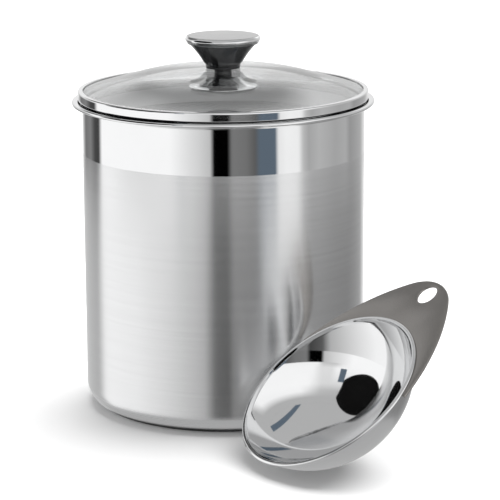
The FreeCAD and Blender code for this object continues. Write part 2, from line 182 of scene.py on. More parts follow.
class FinishSettings(bpy.types.PropertyGroup):
    steel: tint("Steel", "Colour of polished steel", (0.735, 0.738, 0.742))
    satin_steel: tint("Satin steel", "Colour of brushed steel", (0.715, 0.718, 0.722))
    # painted light: lighter than the satin steel, for the light from above that falls through the
    # glass onto the inside under the lip; the zone is also rougher
    matt_steel: tint("Matt steel", "Colour of the matt zone under the lip", (0.80, 0.80, 0.80))
    # painted shade: the cap's satin top is the same steel as its rim, painted darker
    cap_shaded_steel: tint("Cap steel", "Colour of the cap's satin top", (0.33, 0.33, 0.33))
    # painted shade: the handle's steel is painted darker than the bowl's steel, for how dark the
    # handle looks where it is lit
    handle_shaded_steel: tint("Handle steel", "Colour of the scoop's handle", (0.315, 0.300, 0.285))
    glass: tint("Glass", "Light that the glass lets through", (0.975, 0.98, 0.98))
    phenolic: tint("Phenolic", "Colour of the grip", (0.010, 0.010, 0.011))
    silicone: tint("Silicone", "Colour of the soft washers", (0.030, 0.030, 0.032))
    foot_painted_shade: tint("Foot steel", "Colour of the band's dull foot", (0.030, 0.030, 0.032))
    # painted shade: the near-black of the band's foot stands in for the shadow in the gap over the
    # lip
    brass: tint("Brass", "Colour of the threaded insert", (0.72, 0.53, 0.26))
    satin_roughness: share("Satin roughness", "Roughness across the brushing", 0.24)
    polished_roughness: share("Polished roughness", "Roughness of polished steel", 0.035)


class StudioSettings(bpy.types.PropertyGroup):
    camera_distance: length("Camera distance", "Camera to the canister's axis", 1.3173)
    camera_height: length("Camera height", "Camera above the floor", 0.3983)
    camera_pitch: angle("Camera pitch", "Looking down", 13.28)
    camera_yaw: angle("Camera yaw", "Turned to the right", 0.64)
    camera_roll: angle("Camera roll", "Tilt of the horizon", -0.30)
    focal_length: FloatProperty(
        name="Focal length", description="Lens in millimetres", default=169.34, unit="CAMERA"
    )
    card_radius: length("Card radius", "Ring of cards round the canister", 0.42)
    ceiling_height: length("Ceiling height", "Grey card over the canister", 0.62)
    floor_tint: tint("Floor", "Colour of the floor", (0.90, 0.90, 0.90))
    sky_strength: FloatProperty(
        name="Sky strength", description="Soft light from all round", default=0.5, min=0
    )
    key_strength: FloatProperty(
        name="Key strength", description="Broad light from above", default=4.8, min=0
    )
    key_spread: angle("Key spread", "Width of the broad light", 75)
    key_tilt: angle("Key tilt", "The broad light's angle from straight above", 30)
    key_bearing: angle("Key bearing", "Where the broad light comes from, from +Y towards +X", 42)


class Section:
    """A half section in the XZ plane, drawn as one wire from a starting point."""

    def __init__(self, across, up):
        self.mesh = bmesh.new()
        self.first = self.tip = self.mesh.verts.new((across, 0, up))

    def line(self, across, up):
        tip = self.mesh.verts.new((across, 0, up))
        self.mesh.edges.new((self.tip, tip))
        self.tip = tip
        return self

    def curve(self, across, up, radius, steps=8):
        """An arc to the point: it turns from +X to +Z, or the other way if radius is negative."""
        end = Vector((across, 0, up))
        chord = end - self.tip.co
        half = chord.length / 2
        left = Vector((-chord.z, 0, chord.x)).normalized()
        height = math.sqrt(max(radius ** 2 - half ** 2, 0))
        side = math.copysign(1, radius)
        centre = (end + self.tip.co) / 2 + left * height * side
        made = bmesh.ops.spin(
            self.mesh,
            geom=[self.tip],
            cent=centre,
            axis=(0, -1, 0),
            angle=2 * math.asin(min(half / abs(radius), 1)) * side,
            steps=steps,
            use_duplicate=False,
        )
        self.tip = next(part for part in made["geom_last"] if isinstance(part, bmesh.types.BMVert))
        self.tip.co = end
        return self

    def close(self):
        self.mesh.edges.new((self.tip, self.first))
        return self

    def turned(self):
        """The section spun right round Z, closed at its poles, with its faces outwards."""
        mesh = self.mesh
        bmesh.ops.spin(
            mesh,
            geom=mesh.verts[:] + mesh.edges[:],
            cent=(0, 0, 0),
            axis=(0, 0, 1),
            angle=math.tau,
            steps=ROUND_STEPS,
            use_merge=True,
            use_duplicate=False,
        )
        bmesh.ops.remove_doubles(mesh, verts=mesh.verts, dist=MERGE)
        bmesh.ops.recalc_face_normals(mesh, faces=mesh.faces)
        return mesh


def soften(mesh, width, sharp=50, segments=2):
    """Bevel the edges where the faces meet at more than sharp degrees."""
    edges = [
        edge for edge in mesh.edges
        if len(edge.link_faces) == 2 and edge.calc_face_angle() > math.radians(sharp)
    ]
    bmesh.ops.bevel(
        mesh,
        geom=edges,
        offset=width,
        offset_type="OFFSET",
        affect="EDGES",
        segments=segments,
        profile=0.5,
        material=-1,
        clamp_overlap=True,
    )
    bmesh.ops.remove_doubles(mesh, verts=mesh.verts, dist=MERGE)


def finish_piece(mesh, name, body, nodes, materials, pick=None):
    """Make the object, give it its finishes and tie it to the frame.

    pick gives the number of a face's material from the face's middle.
    """
    for face in mesh.faces:
        face.smooth = True
        if pick:
            face.material_index = pick(face.calc_center_median())
    for edge in mesh.edges:
        if len(edge.link_faces) == 2 and edge.calc_face_angle() > CREASE:
            edge.smooth = False
    data = bpy.data.meshes.new(name)
    mesh.to_mesh(data)
    mesh.free()
    piece = bpy.data.objects.new(name, data)
    bpy.context.scene.collection.objects.link(piece)
    for material in materials:
        data.materials.append(material)
    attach(piece, body)
    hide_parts(*nodes)
    return piece


class Value:
    """A number in a material.  Sums of values become Math nodes."""

    def __init__(self, finish, socket):
        self.finish = finish
        self.socket = socket

    def maths(self, operation, first, second):
        settings = {"operation": operation}
        node = self.finish.add("ShaderNodeMath", settings, {0: first, 1: second})
        return Value(self.finish, node.outputs[0])

    def __add__(self, other):
        return self.maths("ADD", self, other)

    def __sub__(self, other):
        return self.maths("SUBTRACT", self, other)

    def __mul__(self, other):
        return self.maths("MULTIPLY", self, other)

    def __truediv__(self, other):
        return self.maths("DIVIDE", self, other)

    def __pow__(self, other):
        return self.maths("POWER", self, other)


class Finish:
    """A material under construction."""

    def __init__(self, name):
        self.material = bpy.data.materials.new(name)
        self.material.use_nodes = True
        self.tree = self.material.node_tree
        self.tree.nodes.clear()

    def add(self, kind, settings=None, inputs=None):
        """A node of that type; its settings come first, then what goes into its sockets."""
        node = self.tree.nodes.new(kind)
        for word, setting in (settings or {}).items():
            if word == "stops":
                self.stops(node.color_ramp, setting)
            else:
                setattr(node, word, setting)
        for word, source in (inputs or {}).items():
            if isinstance(source, Value):
                source = source.socket
            if isinstance(source, bpy.types.NodeSocket):
                self.tree.links.new(source, node.inputs[word])
            elif node.inputs[word].type == "RGBA":
                node.inputs[word].default_value = (*source[:3], 1)
            else:
                node.inputs[word].default_value = source
        return node

    @staticmethod
    def stops(ramp, stops):
        while len(ramp.elements) > 1:
            ramp.elements.remove(ramp.elements[-1])
        for index, (place, colour) in enumerate(stops):
            stop = ramp.elements[0] if index == 0 else ramp.elements.new(place)
            stop.position = place
            stop.color = (*colour, 1)

    def value(self, kind, output, settings=None, inputs=None):
        return Value(self, self.add(kind, settings, inputs).outputs[output])

    def place(self, stretch=(1, 1, 1), middle=(0, 0, 0), turn=(0, 0, 0)):
        """Object coordinates seen from the middle of a piece, turned with it and stretched."""
        where = self.add("ShaderNodeTexCoord").outputs["Object"]
        if any(middle) or any(turn):
            sockets = {"Vector": where, "Location": middle, "Rotation": turn}
            where = self.add("ShaderNodeMapping", {"vector_type": "TEXTURE"}, sockets).outputs[0]
        return self.add(
            "ShaderNodeVectorMath", {"operation": "MULTIPLY"}, {0: where, 1: stretch}
        ).outputs[0]

    def noise(self, where, scale, detail=2.0, roughness=0.5):
        sockets = {"Vector": where, "Scale": scale, "Detail": detail, "Roughness": roughness}
        return self.value("ShaderNodeTexNoise", 0, None, sockets)

    def blend(self, factor, first, second):
        """A colour between two."""
        settings = {"data_type": "RGBA"}
        sockets = {0: factor, 6: first, 7: second}
        return self.add("ShaderNodeMix", settings, sockets).outputs[2]

    def bump(self, height, distance, strength):
        sockets = {"Height": height, "Distance": distance, "Strength": strength}
        return self.add("ShaderNodeBump", None, sockets).outputs[0]

    def surface(self, inputs):
        shader = self.add("ShaderNodeBsdfPrincipled", None, inputs)
        return self.output(shader)

    def output(self, shader):
        self.add("ShaderNodeOutputMaterial", None, {"Surface": shader.outputs[0]})
        return self.material


def faded(colour, amount):
    return tuple(part * amount for part in colour)


def brushed_steel(
    name, settings, colour, middle=(0, 0, 0), turn=(0, 0, 0), anisotropy=0.0, coarse=0.0
):
    """Steel brushed round the piece's axis: fine lines in roughness, tone and bump."""
    finish = Finish(name)
    fine = finish.noise(finish.place(FINE_LINES, middle, turn), 1.0, detail=3.0, roughness=0.6)
    broad = finish.noise(finish.place(BROAD_LINES, middle, turn), 1.0)
    where = finish.place(middle=middle, turn=turn)
    smudge = finish.noise(where, 22.0, detail=3.0, roughness=0.6)
    lines = fine * 0.65 + broad * 0.35
    tone = finish.blend(lines, faded(colour, 0.90), faded(colour, 1.08))
    mean = settings.satin_roughness + coarse
    roughness = (lines - 0.5) * 0.10 + (smudge - 0.5) * 0.06 + mean
    return finish.surface({
        "Base Color": tone,
        "Metallic": 1.0,
        "Roughness": roughness,
        "Anisotropic": anisotropy,
        "Anisotropic Rotation": 0.25,
        "Normal": finish.bump(lines, distance=0.000004, strength=0.6),
    })


def polished_steel(name, settings):
    """Mirror steel with a faint polishing haze and hairlines."""
    finish = Finish(name)
    haze = finish.noise(finish.place(), 46.0, detail=4.0, roughness=0.62)
    hairline = finish.noise(finish.place(HAIRLINES), 1.0)
    tone = finish.blend(haze, faded(settings.steel, 0.97), faded(settings.steel, 1.03))
    roughness = (haze - 0.35) * 0.05 + hairline * 0.015 + settings.polished_roughness
    return finish.surface({
        "Base Color": tone,
        "Metallic": 1.0,
        "Roughness": roughness,
    })


def clear_glass(name, settings):
    """Thin clear glass: see-through, with a mirror that grows towards the edge."""
    finish = Finish(name)
    facing = finish.value("ShaderNodeLayerWeight", 1, None, {"Blend": 0.5})
    haze = finish.noise(finish.place(), 30.0, detail=3.0, roughness=0.6)
    head_on = 0.04
    mirror = (facing ** 5 * (1 - head_on) + head_on) * (haze * 0.08 + 0.96)
    through = finish.add("ShaderNodeBsdfTransparent", None, {"Color": settings.glass})
    white = {"Color": (1, 1, 1), "Roughness": 0.0}
    gloss = finish.add("ShaderNodeBsdfAnisotropic", None, white)
    mix = finish.add("ShaderNodeMixShader", None, {0: mirror})
    finish.tree.links.new(through.outputs[0], mix.inputs[1])
    finish.tree.links.new(gloss.outputs[0], mix.inputs[2])
    return finish.output(mix)


def black_phenolic(name, settings):
    """Hard black resin with a moulded gloss and a trace of orange peel."""
    finish = Finish(name)
    peel = finish.noise(finish.place(), 700.0)
    cloud = finish.noise(finish.place(), 90.0, detail=3.0)
    tone = finish.blend(cloud, faded(settings.phenolic, 0.7), faded(settings.phenolic, 1.5))
    return finish.surface({
        "Base Color": tone,
        "Roughness": cloud * 0.08 + 0.10,
        "Coat Weight": 1.0,
        "Coat Roughness": 0.06,
        "Normal": finish.bump(peel, distance=0.00001, strength=0.5),
    })


def silicone(name, settings):
    """Soft dull rubber with a slight cloud in it."""
    finish = Finish(name)
    cloud = finish.noise(finish.place(), 160.0, detail=3.0)
    tone = finish.blend(cloud, faded(settings.silicone, 0.9), faded(settings.silicone, 1.05))
    return finish.surface({
        "Base Color": tone,
        "Roughness": cloud * 0.15 + 0.5,
        "Normal": finish.bump(cloud, distance=0.00003, strength=0.5),
    })


def turned_metal(name, colour, roughness):
    """Turned metal, not polished: fine tool rings and a slight stain."""
    finish = Finish(name)
    rings = finish.noise(finish.place(TOOL_RINGS), 1.0)
    stain = finish.noise(finish.place(), 240.0, detail=3.0)
    tone = finish.blend(stain, faded(colour, 0.82), faded(colour, 1.05))
    return finish.surface({
        "Base Color": tone,
        "Metallic": 1.0,
        "Roughness": (rings - 0.5) * 0.12 + stain * 0.08 + roughness,
        "Normal": finish.bump(rings, distance=0.000006, strength=0.6),
    })


def once(name, maker, *values, **options):
    """The material of that name, made the first time that it is asked for."""
    return bpy.data.materials.get(name) or maker(name, *values, **options)


def polished(scene):
    return once("polished_steel_mirror", polished_steel, scene.canister_finish)


def scoop_place(sizes, body_radius):
    """Where the scoop stands: its bowl on the floor and its rim against the shell."""
    out = Matrix.Rotation(sizes.lean_bearing, 3, "Z") @ Vector((1, 0, 0))
    facing = Matrix.Rotation(sizes.face_bearing, 3, "Z") @ Vector((1, 0, 0))
    normal = facing * math.sin(sizes.face_tilt) + UP * math.cos(sizes.face_tilt)
    towards = (normal * out.dot(normal) - out).normalized()
    centre = out * (body_radius + sizes.lean_gap) - towards * (sizes.rim + sizes.bead)
    sphere = sizes.rim + sizes.spread
    drop = math.sqrt(sphere ** 2 - sizes.rim ** 2)
    centre.z = sphere - drop * normal.z
    low_side = (facing - normal * facing.dot(normal)).normalized()
    level = Matrix((low_side, normal.cross(low_side), normal)).transposed().to_4x4()
    return Matrix.Translation(centre) @ level @ Matrix.Rotation(sizes.handle_turn, 4, "Z")


class CANISTER_OT_shell(bpy.types.Operator):
    """Make the drawn shell: base, wall, flared mouth and rolled lip."""
    bl_idname = "canister.shell"
    bl_label = "Shell"

    def execute(self, context):
        sizes = context.scene.canister_shell
        finish = context.scene.canister_finish
        body, wall, base = sizes.body_radius, sizes.wall, sizes.base_bend
        cove, bead = sizes.cove_bend, sizes.lip_bead
        top, lip = SHELL_HIGH.z, SHELL_HIGH.x
        cove_level = top - wall - cove
        bead_start = lip - bead - math.sqrt(bead ** 2 - (bead - wall) ** 2)
        section = Section(0, 0)
        section.line(body - base, 0)
        section.curve(body, base, base, steps=20)
        section.line(body, sizes.satin_top)
        section.line(body, cove_level)
        section.curve(body + cove, top - wall, -cove, steps=12)
        section.line(bead_start, top - wall)
        section.curve(lip - bead, top - 2 * bead, bead)
        section.curve(lip, top - bead, bead)
        section.curve(lip - bead, top, bead)
        section.line(body + cove, top)
        section.curve(body - wall, cove_level, cove + wall, steps=12)
        section.line(body - wall, sizes.matt_light_foot)
        section.line(body - wall, base)
        section.curve(body - base, wall, -(base - wall), steps=16)
        section.line(0, wall)
        steel = finish.satin_steel
        satin = once("brushed_steel_shell", brushed_steel, finish, steel, anisotropy=0.9)
        inside = once("brushed_steel_inside", brushed_steel, finish, steel, coarse=0.04)
        # the zone inside under the lip: rougher, and painted lighter as the light from above
        # through the glass
        matt = once("matt_steel_inside", brushed_steel, finish, finish.matt_steel, coarse=0.36)
        mirror = polished(context.scene)
        materials = [satin, mirror, inside, matt]

        def pick(middle):
            across = math.hypot(middle.x, middle.y)
            # inside, above the matt level, is the zone of painted light; below it is plain brushed
            # steel
            if across < body - wall / 2 and wall / 2 < middle.z < cove_level:
                chosen = matt if middle.z > sizes.matt_light_foot else inside
            else:
                chosen = mirror if middle.z > sizes.satin_top else satin
            return materials.index(chosen)

        finish_piece(
            section.turned(), "shell", "canister", ["canister_shell"],
            materials, pick,
        )
        return {"FINISHED"}


class CANISTER_OT_lid_band(bpy.types.Operator):
    """Make the steel band folded round the glass, with its skirt and its rough foot, painted
    near-black as the shade in the gap over the lip.
    """
    bl_idname = "canister.lid_band"
    bl_label = "Lid band"

    def execute(self, context):
        sizes = context.scene.canister_lid
        shell = context.scene.canister_shell
        sheet, roll = sizes.band_sheet, sizes.band_roll
        edge, top = BAND_HIGH.x, BAND_HIGH.z
        skirt_foot = BAND_LOW.z
        skirt = shell.body_radius - shell.wall - sizes.skirt_gap
        foot = skirt_foot + sizes.skirt_depth
        section = Section(skirt - sheet, skirt_foot)
        section.line(skirt, skirt_foot)
        section.line(skirt, foot)
        section.line(edge - sizes.foot_roll, foot)
        section.curve(edge, foot + sizes.foot_roll, sizes.foot_roll, steps=6)
        section.line(edge, foot + sizes.foot_roll + FLAT_EDGE)
        section.line(edge, top - roll - FLAT_EDGE)
        section.line(edge, top - roll)
        section.curve(edge - roll, top, roll, steps=6)
        section.line(edge - sizes.band_cover, top)
        section.line(edge - sizes.band_cover, top - sheet)
        section.line(edge - sheet, top - sheet)
        section.line(edge - sheet, foot + sheet)
        section.line(skirt - sheet, foot + sheet)
        mesh = section.close().turned()
        soften(mesh, BAND_BEVEL)
        # the foot is rough steel painted near-black: painted shade of the gap between the band and
        # the lip
        foot_shade_colour = context.scene.canister_finish.foot_painted_shade
        dull = once("unpolished_foot", turned_metal, foot_shade_colour, roughness=0.5)
        shade_top = foot + 0.8 * sizes.foot_roll

        def pick(middle):
            return int(middle.z < shade_top and math.hypot(middle.x, middle.y) > skirt)

        finish_piece(
            mesh, "lid_band_trim", "lid", ["lid_band"],
            [polished(context.scene), dull], pick,
        )
        return {"FINISHED"}


class CANISTER_OT_lid_glass(bpy.types.Operator):
    """Make the domed glass of the lid."""
    bl_idname = "canister.lid_glass"
    bl_label = "Lid glass"

    def execute(self, context):
        sizes = context.scene.canister_lid
        thick, crown, reach = sizes.glass_thickness, sizes.crown_bend, sizes.crown_reach
        edge, seat = GLASS_HIGH.x, GLASS_LOW.z
        land = edge - sizes.glass_land
        land_top = seat + thick
        flank = land_top + (land - sizes.flank_reach) * math.tan(sizes.flank_slope)
        apex = GLASS_HIGH.z + sizes.glass_hole ** 2 / (2 * crown)
        shoulder = apex - (crown - math.sqrt(crown ** 2 - reach ** 2))
        section = Section(sizes.glass_hole, GLASS_HIGH.z)
        section.curve(reach, shoulder, -crown, steps=10)
        section.curve(sizes.flank_reach, flank, -sizes.shoulder_bend, steps=12)
        section.line(land, land_top)
        section.line(edge, land_top)
        section.line(edge, seat)
        section.line(land, seat)
        section.line(sizes.flank_reach, flank - thick)
        section.curve(reach, shoulder - thick, sizes.shoulder_bend, steps=12)
        section.curve(sizes.glass_hole, GLASS_HIGH.z - thick, crown, steps=10)
        glass = once("clear_lid_glass", clear_glass, context.scene.canister_finish)
        finish_piece(
            section.close().turned(), "lid_glass_dome", "lid", ["lid_glass"], [glass],
        )
        return {"FINISHED"}


class CANISTER_OT_seal_washers(bpy.types.Operator):
    """Make the two soft washers that clamp the glass."""
    bl_idname = "canister.seal_washers"
    bl_label = "Seal washers"

    def execute(self, context):
        sizes = context.scene.canister_knob
        soft = once("black_silicone", silicone, context.scene.canister_finish)
        hole, rim = sizes.screw_hole, UPPER_HIGH.x
        upper = Section(hole, UPPER_LOW.z)
        upper.line(rim, UPPER_LOW.z).line(rim, UPPER_HIGH.z).line(hole, UPPER_HIGH.z)
        washer_height = UPPER_HIGH.z - UPPER_LOW.z
        flange = CUP_HIGH.z + washer_height
        lower = Section(hole, LOWER_LOW.z)
        lower.line(rim, LOWER_LOW.z).line(rim, flange).line(sizes.collar_radius, flange)
        lower.line(sizes.collar_radius, LOWER_HIGH.z).line(hole, LOWER_HIGH.z)
        for section, name in ((upper, "upper_seal_washer"), (lower, "lower_seal_washer")):
            mesh = section.close().turned()
            soften(mesh, WASHER_BEVEL)
            finish_piece(mesh, f"{name}_soft", "lid", [name], [soft])
        return {"FINISHED"}


class CANISTER_OT_knob_grip(bpy.types.Operator):
    """Make the black grip: a narrow foot that flares to a head inside the cap."""
    bl_idname = "canister.knob_grip"
    bl_label = "Knob grip"

    def execute(self, context):
        sizes = context.scene.canister_knob
        foot, top = GRIP_LOW.z, GRIP_HIGH.z
        cap_inside = CAP_HIGH.x - sizes.cap_sheet - sizes.head_fit
        cap_wide = CAP_LOW.z + sizes.cap_side
        flare = foot + sizes.neck_height + sizes.collar_step
        section = Section(sizes.insert_radius, foot)
        section.line(sizes.neck_radius, foot)
        section.line(sizes.neck_radius, foot + sizes.neck_height)
        section.line(sizes.neck_radius + sizes.collar_step, flare)
        section.curve(cap_inside - sizes.cap_tuck, CAP_LOW.z, -sizes.flare_bend, steps=16)
        section.line(cap_inside, cap_wide)
        section.line(cap_inside, cap_wide + sizes.head_fit)
        section.line(CAP_HIGH.x - sizes.cap_round, top)
        section.line(0, top)
        section.line(0, foot + sizes.insert_length)
        section.line(sizes.insert_radius, foot + sizes.insert_length)
        mesh = section.close().turned()
        soften(mesh, GRIP_BEVEL, sharp=25)
        black = once("black_phenolic_gloss", black_phenolic, context.scene.canister_finish)
        finish_piece(mesh, "grip", "lid", ["knob_grip"], [black])
        return {"FINISHED"}


class CANISTER_OT_knob_cap(bpy.types.Operator):
    """Make the cap: a satin top in a polished rim, rolled in under the grip's head."""
    bl_idname = "canister.knob_cap"
    bl_label = "Knob cap"

    def execute(self, context):
        sizes = context.scene.canister_knob
        foot, top, widest = CAP_LOW.z, CAP_HIGH.z, CAP_HIGH.x
        sheet, round_, tuck = sizes.cap_sheet, sizes.cap_round, sizes.cap_tuck
        wide = foot + sizes.cap_side
        flat = widest - round_
        dome = flat ** 2 / (2 * sizes.cap_crown) + sizes.cap_crown / 2
        section = Section(widest - tuck - sheet, foot)
        section.line(widest - tuck, foot)
        section.line(widest, wide)
        section.curve(flat, wide + round_, round_, steps=10)
        section.curve(0, top, dome, steps=16)
        section.line(0, top - sheet)
        section.curve(flat, wide + round_ - sheet, -dome, steps=16)
        section.curve(widest - sheet, wide, -(round_ - sheet), steps=6)
        mesh = section.close().turned()
        soften(mesh, SHEET_BEVEL, sharp=40)
        finish = context.scene.canister_finish
        # the satin top's tone is painted shade, darker than the steel of the rim
        satin = once("brushed_steel_cap", brushed_steel, finish, finish.cap_shaded_steel)
        satin_foot = wide + 0.9 * round_

        def pick(middle):
            return int(middle.z > satin_foot)

        finish_piece(
            mesh, "cap", "lid", ["knob_cap"],
            [polished(context.scene), satin], pick,
        )
        return {"FINISHED"}


class CANISTER_OT_clamp_cup(bpy.types.Operator):
    """Make the flared cup that clamps the glass from below."""
    bl_idname = "canister.clamp_cup"
    bl_label = "Clamp cup"

    def execute(self, context):
        sizes = context.scene.canister_knob
        mouth, crown = CUP_LOW.z, CUP_HIGH.z
        sheet, rim = sizes.cup_sheet, CUP_HIGH.x
        section = Section(sizes.screw_hole, crown - sheet)
        section.line(sizes.cup_top - sheet, crown - sheet)
        section.curve(rim, mouth, sizes.cup_bend, steps=12)
        section.line(rim, mouth + sheet)
        section.curve(sizes.cup_top, crown, -sizes.cup_bend, steps=12)
        section.line(sizes.screw_hole, crown)
        mesh = section.close().turned()
        soften(mesh, SHEET_BEVEL, sharp=40)
        finish_piece(
            mesh, "clamp_bell", "lid", ["clamp_cup"], [polished(context.scene)],
        )
        return {"FINISHED"}


class CANISTER_OT_knob_fixings(bpy.types.Operator):
    """Give the insert, the spring washer and the screw their finishes."""
    bl_idname = "canister.knob_fixings"
    bl_label = "Knob fixings"

    def execute(self, context):
        finish = context.scene.canister_finish
        brass = once("turned_brass", turned_metal, finish.brass, roughness=0.28)
        steel = once("bright_screw_steel", turned_metal, finish.steel, roughness=0.30)
        for name, material in (
            ("knob_insert", brass),
            ("spring_washer", steel),
            ("knob_screw", steel),
        ):
            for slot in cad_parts[name].material_slots:
                slot.material = material
        return {"FINISHED"}


class CANISTER_OT_scoop_bowl(bpy.types.Operator):
    """Make the scoop's bowl: polished inside, satin outside, with a bead at its rim."""
    bl_idname = "canister.scoop_bowl"
    bl_label = "Scoop bowl"

    def execute(self, context):
        sizes = context.scene.canister_scoop
        finish = context.scene.canister_finish
        place = scoop_place(sizes, context.scene.canister_shell.body_radius)
        rim, bead, sphere = sizes.rim, sizes.bead, sizes.rim + sizes.spread
        drop = math.sqrt(sphere ** 2 - rim ** 2)
        inner = sphere - sizes.sheet
        inner_rim = math.sqrt(inner ** 2 - drop ** 2)
        section = Section(0, drop - sphere)
        section.curve(rim, 0, sphere, steps=40)
        section.line(rim + bead, 0)
        section.curve(rim, bead, bead)
        section.line(inner_rim, bead)
        section.line(inner_rim, 0)
        section.curve(0, drop - inner, -inner, steps=40)
        mesh = section.turned()
        soften(mesh, SCOOP_BEVEL, sharp=40)
        bmesh.ops.transform(mesh, matrix=place, verts=mesh.verts)
        sphere_middle = place @ Vector((0, 0, drop))
        mouth_way = place.col[2].to_3d()
        satin = once(
            "brushed_steel_scoop", brushed_steel, finish, finish.satin_steel,
            middle=tuple(place.translation), turn=tuple(place.to_euler()),
        )
        rim_level = place.translation.dot(mouth_way)

        def pick(middle):
            above = middle.dot(mouth_way) - rim_level
            hollow = (middle - sphere_middle).length < sphere - sizes.sheet / 2
            return int(above > 0 or hollow)

        finish_piece(
            mesh, "bowl", "scoop", ["scoop_bowl"],
            [satin, polished(context.scene)], pick,
        )
        return {"FINISHED"}


class CANISTER_OT_scoop_handle(bpy.types.Operator):
    """Make the flat handle, a teardrop of tangent arcs round the back of the bowl."""
    bl_idname = "canister.scoop_handle"
    bl_label = "Scoop handle"

    def execute(self, context):
        sizes = context.scene.canister_scoop
        finish = context.scene.canister_finish
        place = scoop_place(sizes, context.scene.canister_shell.body_radius)
        root = sizes.rim + sizes.bead + sizes.horn_width
        seat = sizes.rim + sizes.weld_gap
        end = sizes.rim + sizes.handle_length
        tip, flank, start = sizes.handle_tip, sizes.handle_flank, sizes.horn_start
        tip_middle = end - tip
        to_root, to_tip = flank - root, flank - tip
        flank_x = (to_root ** 2 - to_tip ** 2 + tip_middle ** 2) / (2 * tip_middle)
        flank_y = math.sqrt(to_root ** 2 - flank_x ** 2)
        toe_x = tip_middle + (tip_middle - flank_x) * tip / to_tip
        toe_y = flank_y * tip / to_tip
        horn = math.sqrt(flank ** 2 - (start - flank_x) ** 2) - flank_y
        inner_horn = math.sqrt(seat ** 2 - start ** 2)
        outline = Section(start, -inner_horn)
        outline.curve(seat, 0, seat, steps=32)
        outline.curve(start, inner_horn, seat, steps=32)
        outline.line(start, horn)
        outline.curve(toe_x, toe_y, -flank, steps=36)
        outline.curve(end, 0, -tip, steps=20)
        outline.curve(toe_x, -toe_y, -tip, steps=20)
        outline.curve(start, -horn, -flank, steps=36)
        mesh = outline.close().mesh
        upright = Matrix.Rotation(math.radians(90), 4, "X")
        hole = Matrix.Translation((end - sizes.hole_inset, 0, 0)) @ upright
        bmesh.ops.create_circle(mesh, segments=64, radius=sizes.hole_radius, matrix=hole)
        bmesh.ops.triangle_fill(mesh, edges=mesh.edges[:], use_beauty=True, use_dissolve=False)
        raised = bmesh.ops.extrude_face_region(mesh, geom=mesh.faces[:], use_keep_orig=True)
        lifted = [part for part in raised["geom"] if isinstance(part, bmesh.types.BMVert)]
        bmesh.ops.translate(mesh, vec=(0, sizes.handle_sheet, 0), verts=lifted)
        flat = Matrix.Rotation(math.radians(90), 3, "X")
        bmesh.ops.rotate(mesh, cent=(0, 0, 0), matrix=flat, verts=mesh.verts)
        foot = -sizes.weld_gap - sizes.handle_sheet
        bmesh.ops.translate(mesh, vec=(0, 0, foot), verts=mesh.verts)
        bmesh.ops.recalc_face_normals(mesh, faces=mesh.faces)
        soften(mesh, SCOOP_BEVEL, sharp=60, segments=3)
        bmesh.ops.transform(mesh, matrix=place, verts=mesh.verts)
        # the handle's tone is painted shade: the same steel as the bowl, made darker
        satin = once(
            "brushed_steel_handle", brushed_steel, finish, finish.handle_shaded_steel,
            middle=tuple(place.translation), turn=tuple(place.to_euler()),
        )
        finish_piece(mesh, "handle", "scoop", ["scoop_handle"], [satin])
        return {"FINISHED"}


# Reflections seen in the steel.  Each card is (bearing, colour): bearings in degrees from the
# camera's side, + towards +X, with the brightness that the steel should show.  Between two
# cards of a ring the brightness runs evenly from the one to the other.
GREY_BLUE = (0.10, 0.13, 0.165)
MIDDLE_CARDS = [
    (-180, 0.80), (-156, 0.74), (-149, 0.42), (-141, 0.15), (-128, 0.20), (-119, 0.06),
    (-112, 0.05), (-107.5, 0.93), (-40, 0.93), (-30, 0.79), (-17, 0.62), (-9.5, 0.50),
    (-7.5, 0.0), (3.2, 0.0), (6, 0.18), (16, 0.16), (23, 0.10), (26, GREY_BLUE),
    (38, GREY_BLUE), (40.5, 0.78), (47, 0.86), (57, 0.84), (61, 0.48), (66, 0.37),
    (76, 0.43), (94, 0.36), (108, 0.39), (115, 0.29), (138, 0.37), (150, 0.60), (180, 0.80),
]
LOW_CARDS = [
    (-180, 0.80), (-150, 0.50), (-118, 0.42), (-108, 0.92), (-70, 0.88), (-50, 0.74),
    (-34, 0.60), (-15, 0.42), (-8, 0.10), (3.5, 0.05), (6, 0.20), (24, 0.16), (32, 0.62),
    (42, 0.80), (55, 0.82), (62, 0.36), (70, 0.24), (112, 0.20), (140, 0.32), (152, 0.75),
    (180, 0.80),
]
OPEN_CARDS = [
    (-180, 0.80), (-150, 0.42), (-128, 0.20), (-112, 0.30), (-106, 0.93), (-40, 0.93), (-30, 0.80),
    (-22, 0.52), (-9, 0.52), (-4, 0.88), (60, 0.88), (75, 0.50), (130, 0.45), (150, 0.60),
    (180, 0.80),
]
UPPER_CARDS = [
    (-180, 0.62), (-160, 0.62), (-140, 0.50), (-120, 0.55), (-106, 0.92), (-24, 0.90), (-18, 0.72),
    (-8, 0.72), (0, 0.90), (60, 0.90), (75, 0.50), (130, 0.45), (150, 0.62), (180, 0.62),
]
HIGH_CARDS = [
    (-180, 0.80), (-150, 0.80), (-120, 0.55), (-106, 0.92), (-60, 0.88), (-40, 0.68), (-10, 0.68),
    (5, 0.92), (75, 0.90), (90, 0.48), (130, 0.60), (180, 0.80),
]
TALL_CARDS = [
    (-180, 1.05), (-168, 1.05), (-160, 0.12), (-124, 0.12), (-108, 0.42), (-50, 0.42), (-10, 0.50),
    (14, 0.88), (70, 0.88), (86, 0.42), (130, 0.42), (150, 1.05), (180, 1.05),
]
TOP_CARDS = [
    (-180, 0.50), (-168, 0.50), (-160, 0.12), (-124, 0.12), (-108, 0.42), (130, 0.42), (150, 0.50),
    (180, 0.50),
]
